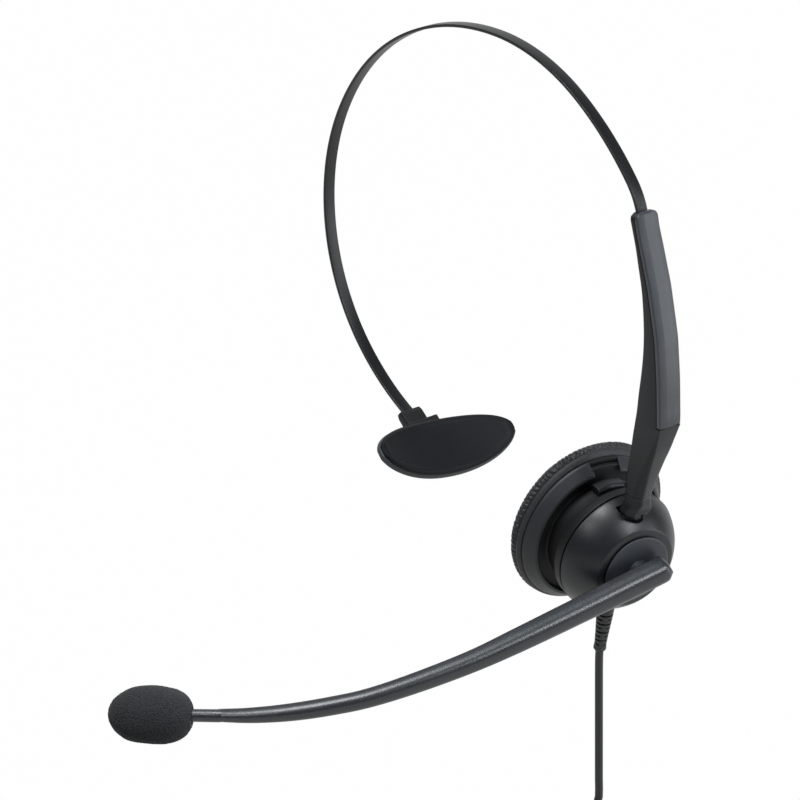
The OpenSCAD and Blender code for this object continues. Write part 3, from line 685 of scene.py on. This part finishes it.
def arm():
    # lower body: from the neck plane to the elbow
    rings = []
    zs = [ELBOW - (ELBOW - 12.0) * i / 60 for i in range(61)]
    for z in zs:
        rings.append([W(u, v, z) for u, v in arm_low_poly(z)])
    low = loft("arm_low", rings, angle=30)
    # cut by the neck plane
    c = prism("c", [(-20, -20), (90, -20), (90, 20), (-20, 20)], lambda u, v, h: L(u, v, h), -20, 23.42)
    boolean(low, c, angle=30)
    # upper body under the cover
    rings = []
    top = 101.35
    zs = [ELBOW - 0.6 + (top - ELBOW + 0.6) * i / 90 for i in range(91)]
    zs[-1] = top
    extra = [(top, 0.0), (top + 0.25, 0.12), (top + 0.45, 0.4), (top + 0.55, 0.75)]
    for z in zs:
        xi, xs = x_in(z), x_seam(z)
        e = smooth(top - 1.4, top, z)
        p = fillet([(xi, YF), (xs, YF), (xs, YB), (xi, YB)], [0.65, 0.2, 0.2, 0.65], 5)
        # rounded top corners in the width
        d = z - (top - 1.8)
        sh = 1.8 - math.sqrt(max(0.0, 1.8 ** 2 - d * d)) if d > 0 else 0
        p = [(u, (v - (YF + YB) / 2) * (4 - sh) / 4 + (YF + YB) / 2) for u, v in p]
        rings.append([W(u, v, z) for u, v in p])
    upb = loft("arm_up", rings, angle=30)
    # channel for the strip, seen at the mouth
    m = W(31.7, -6.4, 101.0); dn = Vector((0.2588, 0, -0.9659)); ot = Vector((0.9659, 0, 0.2588))
    c = prism("c", [(-0.5, -2.0), (0.5, -2.0), (0.5, 2.0), (-0.5, 2.0)], lambda u, v, h: m + ot * u + Vector((0, v, 0)) + dn * h, -6, 31)
    boolean(upb, c, angle=30)
    c = prism("c", [(-0.5, -2.9), (0.5, -2.9), (0.5, 2.9), (-0.5, 2.9)], lambda u, v, h: m + ot * u + Vector((0, v, 0)) + dn * h, 5.7, 31)
    boolean(upb, c, angle=30)
    bevel(upb, 0.12, 2, 60, angle=30)
    finish_piece(low, "arm", M["arm"], ["arm_body"])
    finish_piece(upb, "arm", M["arm"])
    low.name = "arm_lower_body"; upb.name = "arm_upper_body"
    # cover: satin faceplate with softly arched face and rounded ends
    rings = []
    z0, z1 = ELBOW + 0.01, 101.95
    N = 140
    for i in range(N + 1):
        z = z0 + (z1 - z0) * i / N
        xs, xo = x_seam(z) + 0.06, x_out(min(z, 101.9))
        e = 0.0
        d = z - (z1 - 2.0)
        sh = 2.0 - math.sqrt(max(0.0, 2.0 ** 2 - d * d)) if d > 0 else 0
        d2 = (z0 + 0.3) - z
        sh = max(sh, 0.3 - math.sqrt(max(0.0, 0.3 ** 2 - d2 * d2)) if d2 > 0 else 0)
        dt = max(0, z - (z1 - 0.5)); db = max(0, (z0 + 0.05) - z)
        xo -= 0.5 - math.sqrt(max(0, 0.25 - dt * dt)) + 0.05 - math.sqrt(max(0, 0.0025 - db * db))
        hw = 4.0 - sh
        ym = (YF + YB) / 2
        arch = 0.22 * (hw / 4.0)
        p = fillet([(xs, ym - hw + 0.12), (xo - arch, ym - hw + 0.02), (xo, ym - hw * 0.34), (xo, ym + hw * 0.34), (xo - arch, ym + hw - 0.02), (xs, ym + hw - 0.12)],
                   [0.12, 0.42, 2.4, 2.4, 0.42, 0.12], 5)
        rings.append([W(u, v, z) for u, v in p])
    cov = loft("arm_faceplate", rings, angle=32)
    finish_piece(cov, "arm", M["cover"], ["arm_cover"])
arm()

neck()

# ------------------------------------------------------------------ headband strip
ARCS = [(9, 21.6), (28, 90), (36, 66), (44, 79.6), (44, 71.4), (40, 65), (36, 61.3), (24, 69.7)]
def band():
    x, z, h = 31.7, 101.0, math.radians(105)
    path = [(x + 0.2588 * s, z - 0.9659 * s, h) for s in (28, 21, 14, 7)]
    path.append((x, z, h))
    for ln, r in ARCS:
        n = math.ceil(ln / 4)
        for i in range(n):
            d = ln / n; t = d / r
            x += d * math.cos(h + t / 2); z += d * math.sin(h + t / 2); h += t
            path.append((x, z, h))
    # finer along the arcs
    fine = []
    for i in range(len(path) - 1):
        a, b = path[i], path[i + 1]
        m = 4
        for k in range(m):
            t = k / m
            # cubic between the two headings
            d = math.hypot(b[0] - a[0], b[1] - a[1])
            t2, t3 = t * t, t * t * t
            H = (2 * t3 - 3 * t2 + 1, t3 - 2 * t2 + t, -2 * t3 + 3 * t2, t3 - t2)
            px = H[0] * a[0] + H[1] * d * math.cos(a[2]) + H[2] * b[0] + H[3] * d * math.cos(b[2])
            pz = H[0] * a[1] + H[1] * d * math.sin(a[2]) + H[2] * b[1] + H[3] * d * math.sin(b[2])
            fine.append((px, pz, a[2] + (b[2] - a[2]) * t))
    fine.append(path[-1])
    sec = fillet([(-1.9, -0.45), (1.9, -0.45), (1.9, 0.45), (-1.9, 0.45)], 0.22, 4)
    rings = []
    for px, pz, h in fine:
        nx, nz = -math.sin(h), math.cos(h)
        rings.append([W(px + nx * v, -6.4 + u, pz + nz * v) for u, v in sec])
    ob = loft("headband_spring", rings, angle=40)
    finish_piece(ob, "headband", M["band"], ["headband_strip"])
    return path[-1]
BAND_END = band()

# ------------------------------------------------------------------ pad clip and temple pad
def pad():
    poly = fillet([(-0.8, -0.95), (0.5, -1.5), (6.0, -1.7), (7.5, -0.8), (7.5, 0.8), (6.0, 1.7), (0.5, 1.5), (-0.8, 0.95)],
                  [0.3, 0.8, 0.9, 0.7, 0.7, 0.9, 0.8, 0.3], 5)
    clip = prism("pad_clip_block", poly, lambda u, v, h: PAD(u, h, v), -3.7, 3.7)
    bevel(clip, 0.45, 3, 55)
    finish_piece(clip, "headband", M["recess"], ["pad_clip"])
    a7 = math.radians(-6.2); c7, s7 = math.cos(a7), math.sin(a7)
    HL, HW = 24.2, 9.1
    def P(u, v, n, g=1.0):
        """u -1..1 along the leaf, v -1..1 across, n height; cupped ends."""
        # outline of a leaf with softly rounded tips
        w = HW * (1 - abs(u) ** 2.2) ** 0.5 if abs(u) < 1 else 0
        yy = u * HL * g
        xx = v * w * g
        cup = 5.0 * abs(u * g) ** 2.0
        x = 15 + xx * c7 - yy * s7
        y = xx * s7 + yy * c7
        return PAD(x, y, n + cup)
    NU, NV = (150, 40)
    def shell(name, n_lo, n_hi, grow, crown, dish, edge, mat, repl):
        rings = []
        for i in range(NU + 1):
            u = -math.cos(pi * i / NU)
            u *= 0.9985
            ring = []
            m = NV
            for k in range(m):          # over the top from v=-1 to 1
                v = -math.cos(pi * k / (m - 1))
                av = abs(v)
                eu = abs(u)
                # distance to rim in rough millimetres
                w = HW * (1 - eu ** 2.2) ** 0.5
                dr = min((1 - av) * w, (1 - eu) * HL * 0.7 + 0.0)
                top = n_hi - (n_hi - n_lo) * 0.5 * (1 - clamp(dr / edge)) ** 2
                top += crown * (1 - av * av) * (1 - eu * eu)
                top -= dish * smooth(1.2, 2.2, dr)
                ring.append(P(u, v, top, grow))
            for k in range(m):
                v = math.cos(pi * k / (m - 1))
                av = abs(v); eu = abs(u)
                w = HW * (1 - eu ** 2.2) ** 0.5
                dr = min((1 - av) * w, (1 - eu) * HL * 0.7)
                lo = n_lo + (n_hi - n_lo) * 0.2 * (1 - clamp(dr / edge)) ** 2
                ring.append(P(u, v, lo, grow))
            rings.append(ring)
        ob = loft(name, rings, angle=50)
        finish_piece(ob, "temple_pad", mat, repl)
        return ob
    shell("pad_backing_leaf", 2.7, 4.7, 1.0, 0.0, 0.0, 0.5, M["pad_rim"], ["pad_backing"])
    skin = shell("pad_cushion_skin", 4.4, 6.2, 0.972, -0.5, 0.2, 1.6, M["pad"], ["pad_cushion"])
    # lugs on the pin
    parts = []
    for s in (-1, 1):
        poly = fillet([(3.9, -1.4), (7.0, -1.4), (8.8, 3.6), (4.2, 3.6)], [1.4, 1.4, 0.2, 0.2], 6)
        parts.append(prism("g", poly, lambda u, v, h, s=s: PAD(u, s * h, v), 4.2, 5.4))
    poly = fillet([(4.4, 3.0), (10.4, 3.0), (10.4, 4.1), (4.4, 4.1)], 0.3, 3)
    parts.append(prism("g", poly, lambda u, v, h: PAD(u, h, v), -5.4, 5.4))
    lug = join("pad_lugs", parts)
    bevel(lug, 0.2, 2, 50)
    finish_piece(lug, "temple_pad", M["recess"])
pad()

# ------------------------------------------------------------------ hub and boom
def hub():
    prof = [(1.0, 27.6), (2.7, 27.6), (2.95, 27.85), (2.95, 31.5), (10.1, 31.5), (10.42, 31.6), (10.5, 31.78), (10.46, 31.98),
            (10.25, 32.12), (9.8, 32.2), (8, 32.3), (6, 32.38), (3.6, 32.42), (3.2, 32.5), (3.1, 32.8), (3.1, 33.8), (1.0, 33.8)]
    ob = revolve("hub_cap", prof, 128, angle=40)
    finish_piece(ob, "boom", M["hub"], ["hub_disc"])
hub()

BOOM = [(-7, 36.9), (6, 36.9), (19, 36.9), (31, 36.85), (43, 36.7), (56.2, 36.2), (70, 34.6), (84.4, 32.0), (91.0, 30.2), (97, 27.9),
        (103, 25.3), (108.8, 22.4), (114.4, 19.1), (119.8, 15.4), (124.9, 11.3)]
SIZE = [(-10, 7.6, 6.4), (0, 7.6, 6.3), (20, 7.2, 6.15), (43, 6.7, 5.75), (56, 6.15, 5.2), (72, 5.75, 4.85), (88, 5.3, 4.5), (105.5, 4.85, 4.4), (116, 4.2, 4.0), (124.9, 3.3, 3.45)]
def boom():
    tab = [(r, x) for r, x in BOOM]
    R0, R1 = -7.5, 124.9
    st = []
    n = 150
    for i in range(n + 1):
        t = i / n
        # finer at the root
        r = R0 + (R1 - R0) * (t ** 1.15)
        st.append(r)
    st = [R0 + q for q in (0.0, 0.03, 0.1, 0.22, 0.4, 0.62, 0.9, 1.25, 1.65, 2.1, 2.6, 3.1, 3.7)] + [r for r in st if r > R0 + 4.0]
    def centre(r):
        return lerp_table(tab, r)[0] if r > -7 else 36.9
    def shells(part):
        rings = []
        for r in st:
            x = centre(r)
            dx = (centre(r + 0.5) - centre(r - 0.5))
            ln = math.hypot(1, dx)
            tr, tx = 1 / ln, dx / ln            # tangent in (r, x)
            qr, qx = -tx, tr                    # outward normal
            H, T = lerp_table(SIZE, r)
            s = r - R0
            kw = (clamp(1 - (max(0, 2.3 - s) / 2.32) ** 2.6)) ** 0.45 if s < 2.3 else 1.0
            kt = 1 - 0.22 * (1 - smooth(0, 1.6, s)) - 0.05 * (1 - smooth(1.0, 3.2, s))
            hw = max(0.25, H / 2 * kw)
            ht = T / 2
            lo_cut = -ht + 1.45 * (T / 6.2) ** 0.5      # seam height above the centre
            ring = []
            m = 44
            if part == "outer":
                e = 2.5
                for k in range(m + 1):
                    ph = pi * k / m
                    cw, sq = math.cos(ph), math.sin(ph)
                    w = hw * (abs(cw) ** (2 / e)) * (1 if cw >= 0 else -1)
                    q = lo_cut + (ht * kt - lo_cut) * (abs(sq) ** (2 / e))
                    ring.append((w, q))
                # lower edge: a small round into the seam
                ring.append((-hw + 0.10, lo_cut - 0.10))
                ring.append((-hw + 0.45, lo_cut - 0.12))
                ring.append((hw - 0.45, lo_cut - 0.12))
                ring.append((hw - 0.10, lo_cut - 0.10))
            else:
                e = 2.8
                hi = lo_cut - 0.30
                hw2 = hw - 0.2
                lo = -ht * (0.98 if s > 2 else 0.98)
                ring.append((hw2 - 0.35, lo_cut - 0.12))
                ring.append((hw2 - 0.35, hi + 0.02))
                ring.append((hw2 - 0.06, hi))
                for k in range(m + 1):
                    ph = -pi * k / m
                    cw, sq = math.cos(ph), math.sin(ph)
                    w = hw2 * (abs(cw) ** (2 / e)) * (1 if cw >= 0 else -1)
                    q = (hi - 0.1) + (lo - (hi - 0.1)) * (abs(sq) ** (2 / e))
                    ring.append((w, q))
                ring.append((-hw2 + 0.06, hi))
                ring.append((-hw2 + 0.35, hi + 0.02))
                ring.append((-hw2 + 0.35, lo_cut - 0.12))
            rings.append([B(x + q * qx, r + q * qr, w) for w, q in ring])
        return rings
    out = loft("boom_outer_shell", shells("outer"), angle=38)
    finish_piece(out, "boom", M["boom"], ["boom_outer"])
    inn = loft("boom_inner_shell", shells("inner"), angle=38)
    finish_piece(inn, "boom", M["boom_in"], ["boom_inner"])
boom()

# ------------------------------------------------------------------ microphone end
TIP_D = (-0.629, 0.777)        # (x, r) along the tip
def tip(s, a, R):
    """s along the tip from the boom's end, a round it, R out."""
    px, pr = 11.3 + TIP_D[0] * s, 124.9 + TIP_D[1] * s
    nx, nr = 0.777, 0.629
    return B(px + nx * R * math.cos(a), pr + nr * R * math.cos(a), R * math.sin(a))
def mic():
    prof = [(0.0, -1.6), (1.6, -1.6), (1.78, -0.4), (1.83, 0.0), (1.83, 2.0), (1.8, 7.6), (0.0, 7.7)]
    n = 48
    rings = [[tip(s, 2 * pi * i / n, max(R, 1e-4)) for R, s in prof] for i in range(n)]
    ob = loft("mic_neck_sleeve", rings, closed=False, loop=True, angle=40)
    finish_piece(ob, "boom", M["boom"], ["mic_neck"])
    # foam windscreen
    tab = [(0.0, 0.0), (0.25, 2.3), (0.8, 3.75), (1.8, 5.3), (3.2, 6.5), (5.2, 7.4), (7.6, 7.9), (10.4, 8.12), (13.2, 8.1), (16, 7.8), (18.6, 7.1), (20.6, 6.0), (22.2, 4.7), (23.4, 3.1), (24.0, 1.6), (24.2, 0.0)]
    nu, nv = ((260, 150))
    S0 = 7.2
    verts, faces = [], []
    # by arc length
    pts = [(s, r) for s, r in tab]
    cum = [0]
    for i in range(1, len(pts)):
        cum.append(cum[-1] + math.hypot(pts[i][0] - pts[i - 1][0], pts[i][1] - pts[i - 1][1]))
    ts = [(c, p[0], p[1]) for c, p in zip(cum, pts)]
    rings = []
    for j in range(nv + 1):
        c = cum[-1] * j / nv
        s, R = lerp_table(ts, c)
        R = max(R, 1e-3)
        # outward direction from the profile
        c2 = min(cum[-1], c + 0.3); c1 = max(0, c - 0.3)
        sa, Ra = lerp_table(ts, c1); sb, Rb = lerp_table(ts, c2)
        d = Vector((sb - sa, Rb - Ra)).normalized()
        nS, nR = -d.y, d.x
        ring = []
        for i in range(nu):
            a = 2 * pi * i / nu
            base = tip(S0 + s, a, R)
            p = base * 1.25
            f = noise.noise(p * 1.3) * 0.5 + noise.noise(p * 2.6) * 0.5
            lum = noise.noise(base * 0.16)
            fade = smooth(0, 2.0, R)
            dsp = (0.14 * f - 0.06) * fade + 0.22 * lum * fade
            ring.append(tip(S0 + s + nS * dsp, a, max(1e-3, R + nR * dsp)))
        rings.append(ring)
    ob = loft("windscreen_foam", rings, cap=(True, True), angle=80)
    finish_piece(ob, "boom", M["foam"], ["windscreen"])
mic()
# ------------------------------------------------------------------ cord and what is on it
def cord_and_plug():
    d = CORD_D
    hx, hy = 8.4, -1.2
    lead = [Vector(p) for p in ((8.95, -1.45, -39.12), (8.68, -1.35, -41.4), (8.52, -1.28, -44.2), (8.43, -1.22, -48),
            (hx, hy, -52), (hx, hy, -57), (hx, hy, -63), (hx, hy, -69), (hx, hy, -75), (hx, hy, -81), (hx, hy, -86.5))]
    R, h = 13.4, 2.12
    cx, cy, cz = hx + 5.6, hy, -113.3
    a, b, c, e = h, 0.0, -h, 2 * h
    slots = [(e, -1.23), (a, -2.46), (b, -3.69), (c, -2.46), (b, -1.23), (a, 0.0), (b, 1.23), (c, 0.0), (c, 2.46), (b, 3.69), (a, 2.46), (e, 1.23)]
    wide = 36.0
    def slot_at(T):
        """T is the total angle wound since the top, in degrees."""
        # turn k sits in slot k; its change to slot k+1 is centred at 330 + k * 324
        k = 0
        for i in range(len(slots) - 1):
            ctr = 318 + i * (360 - wide)
            if T > ctr + wide / 2:
                k = i + 1
            elif T > ctr - wide / 2:
                t = smooth(ctr - wide / 2, ctr + wide / 2, T)
                p, q = slots[i], slots[i + 1]
                return p[0] + (q[0] - p[0]) * t, p[1] + (q[1] - p[1]) * t
        return slots[k]
    total = 318 + (len(slots) - 2) * (360 - wide) + wide / 2
    # leave at the bottom
    n_more = math.ceil((total - 180) / 360)
    end = 180 + 360 * n_more
    def ring_pt(T):
        dr, dy = slot_at(T)
        t = math.radians(T)
        return Vector((cx + (R + dr) * math.sin(t), cy + dy, cz + (R + dr) * math.cos(t)))
    pts = list(lead)
    # bend from the vertical lead into the top of the ring
    top = ring_pt(0)
    bc = Vector((top.x, top.y, top.z + 5.6))
    for k in range(0, 6):
        t = math.radians(90 * k / 6)
        pts.append(Vector((bc.x - 5.6 * math.cos(t), bc.y, bc.z - 5.6 * math.sin(t))))
    T = 0.0
    while T < end - 1:
        pts.append(ring_pt(T)); T += 15.0
    bot = ring_pt(end)
    bc = Vector((bot.x, bot.y, bot.z - 5.6))
    for k in range(0, 7):
        t = math.radians(90 * k / 6)
        pts.append(Vector((bc.x - 5.6 * math.sin(t), bc.y, bc.z + 5.6 * math.cos(t))))
    last = pts[-1]
    plug_top = Vector((hx, hy, -145.6))
    for k in range(1, 7):
        t = k / 6
        s = t * t * (3 - 2 * t)
        pts.append(Vector((last.x + (plug_top.x - last.x) * s, last.y + (plug_top.y - last.y) * s, last.z + (plug_top.z - last.z) * t)))
    # smooth once more with a Catmull-Rom pass so every bend is round
    sm = []
    for i in range(len(pts) - 1):
        p0, p1, p2, p3 = pts[max(0, i - 1)], pts[i], pts[i + 1], pts[min(len(pts) - 1, i + 2)]
        for k in range(2):
            t = k / 2
            t2, t3 = t * t, t * t * t
            sm.append(0.5 * ((2 * p1) + (p2 - p0) * t + (2 * p0 - 5 * p1 + 4 * p2 - p3) * t2 + (3 * p1 - p0 - 3 * p2 + p3) * t3))
    sm.append(pts[-1])
    length = sum((sm[i + 1] - sm[i]).length for i in range(len(sm) - 1))
    cu = bpy.data.curves.new("headset_cord", "CURVE"); cu.dimensions = "3D"
    sp = cu.splines.new("POLY"); sp.points.add(len(sm) - 1)
    for q, p in zip(sp.points, sm):
        q.co = ((p.x + OFF.x) * S, (p.y + OFF.y) * S, (p.z + OFF.z) * S, 1)
    cu.bevel_depth = d / 2 * S; cu.bevel_resolution = 4; cu.use_fill_caps = True
    ob = bpy.data.objects.new("headset_cord", cu)
    bpy.context.scene.collection.objects.link(ob)
    cu.materials.append(M["rubber"])
    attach(ob, "ear_cup"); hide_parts("cord_tube", "cord_coil", "cord_tail")
    # tie round the bundle at the outer side
    rings = []
    for i in range(-8, 9):
        t = math.radians(90 + i * 1.35)
        w = 1 - 0.04 * (i / 8.0) ** 6
        ring = []
        for k in range(56):
            f = 2 * pi * k / 56
            er, ey = 4.6, 5.15
            cr = abs(math.cos(f)) ** 0.8 * (1 if math.cos(f) >= 0 else -1)
            sr = abs(math.sin(f)) ** 0.8 * (1 if math.sin(f) >= 0 else -1)
            lump = 0.06 * noise.noise(Vector((math.cos(f) * 3, math.sin(f) * 3, i * 0.6)))
            rr = R + 1.06 + er * w * cr * (1 + lump)
            ring.append(W(cx + rr * math.sin(t), cy + ey * w * sr * (1 + lump), cz + rr * math.cos(t)))
        rings.append(ring)
    tie = loft("cord_strap", rings, cap=(False, False), angle=50)
    m = tie.modifiers.new("s", "SOLIDIFY"); m.thickness = 0.55 * S; m.offset = 1
    bake(tie, 50)
    tab = prism("strap_tab", fillet([(-2.6, 0), (2.6, 0), (2.4, 5.5), (-2.4, 5.5)], [0.2, 0.2, 1.2, 1.2], 4),
                lambda u, v, hh: W(cx + R + 5.6 + hh + 0.03 * v * v, cy - 1 + v, cz + u), 0.5, 1.05)
    bevel(tab, 0.12, 2, 50)
    finish_piece(tie, "ear_cup", M["cloth"], ["cord_tie"])
    finish_piece(tab, "ear_cup", M["cloth"])
    # plug grip with a ribbed waist and its own small relief
    z0 = -173.6
    prof = [(1.76, 0.0), (3.9, 0.0), (4.25, 0.25), (4.4, 0.9), (4.7, 1.5), (4.75, 2.4)]
    z = 4.2
    while z < 13.6:
        prof += [(4.75, z), (4.66, z + 0.18), (4.36, z + 0.32), (4.36, z + 0.72), (4.66, z + 0.86), (4.75, z + 1.04)]
        z += 1.62
    prof += [(4.75, 15.2), (4.6, 16.6), (4.15, 17.9), (3.5, 18.8), (2.9, 19.4), (2.6, 19.8)]
    z = 20.2
    while z < 27:
        prof += [(2.42, z), (2.36, z + 0.1), (1.85, z + 0.2), (1.85, z + 0.6), (2.3, z + 0.7), (2.36, z + 0.8)]
        z += 1.35
    prof += [(2.2, 27.7), (2.05, 28.0), (1.2, 28.05)]
    grip = lathe("plug_grip", prof, 72, W(hx, hy, z0), (0, 0, 1), (1, 0, 0), angle=45)
    finish_piece(grip, "ear_cup", M["shell"], ["plug_body"])
    print("cord length mm", round(length, 1), "points", len(sm))
cord_and_plug()

# ------------------------------------------------------------------ materials on the CAD pieces that stay
for name, mat in CAD_MATS.items():
    o = NODES[name]
    if len(o.data.materials) == 0:
        o.data.materials.append(M[mat])
    for i in range(len(o.material_slots)):
        o.material_slots[i].material = M[mat]

# ------------------------------------------------------------------ stage and light
def stage():
    me = bpy.data.meshes.new("studio_floor")
    s = 9.0
    # floor well under the hanging object, swept up behind it
    verts, faces = [], []
    prof = [(3.2, -0.62), (-2.0, -0.62)] + [(-2.0 - 1.6 * math.sin(a), -0.62 + 1.6 * (1 - math.cos(a))) for a in [pi / 2 * i / 16 for i in range(1, 17)]] + [(-3.6, 5)]
    d = Vector((cv.x, cv.y, 0)).normalized(); w = Vector((-d.y, d.x, 0))
    for side in (-1, 1):
        for t, z in prof:
            p = d * t + w * side * 4.5
            verts.append((p.x, p.y, z))
    n = len(prof)
    for i in range(n - 1):
        faces.append((i, i + 1, n + i + 1, n + i))
    me.from_pydata(verts, [], faces)
    me.shade_smooth()
    ob = bpy.data.objects.new("studio_floor", me)
    bpy.context.scene.collection.objects.link(ob)
    m, t, b = nt("studio_white")
    em = node(t, "ShaderNodeEmission")
    nz = noise_tex(t, obj_coord(t), 0.4, 2)
    t.links.new(mix_col(t, nz, (1.0, 1.0, 1.0), (0.99, 0.99, 0.992)), em.inputs["Color"])
    em.inputs["Strength"].default_value = 1.0
    t.links.new(em.outputs[0], t.nodes["Material Output"].inputs["Surface"])
    me.materials.append(m)
    ob.visible_diffuse = False
    def area(name, at, to, size, size_y, power, col=(1, 1, 1)):
        l = bpy.data.lights.new(name, "AREA"); l.shape = "RECTANGLE"
        l.size = size; l.size_y = size_y; l.energy = power; l.color = col
        o = bpy.data.objects.new(name, l)
        bpy.context.scene.collection.objects.link(o)
        o.location = at
        dirv = (Vector(to) - Vector(at)).normalized()
        o.rotation_euler = dirv.to_track_quat("-Z", "Y").to_euler()
        return o
    t0 = (0, 0, 0.03)
    area("key_top", (0.05, -0.35, 1.2), t0, 0.5, 0.35, 14, (0.96, 0.985, 1.0))
    area("side_right", (1.07, 0.2, 0.8), t0, 0.38, 0.38, 10, (0.94, 0.975, 1.0))
    area("back_right", (0.95, 0.9, 0.1), t0, 0.5, 0.9, 6, (0.92, 0.96, 1.0))
    area("front_left", (0.2, -1.05, 0.95), t0, 0.32, 0.32, 4, (0.96, 0.985, 1.0))
    w_ = bpy.data.worlds.new("studio"); w_.use_nodes = True
    bg = w_.node_tree.nodes["Background"]
    bg.inputs["Color"].default_value = (0.88, 0.95, 1.0, 1); bg.inputs["Strength"].default_value = 0.10
    bpy.context.scene.world = w_
stage()
bpy.context.scene.view_settings.view_transform = "Standard"

bpy.context.view_layer.update()
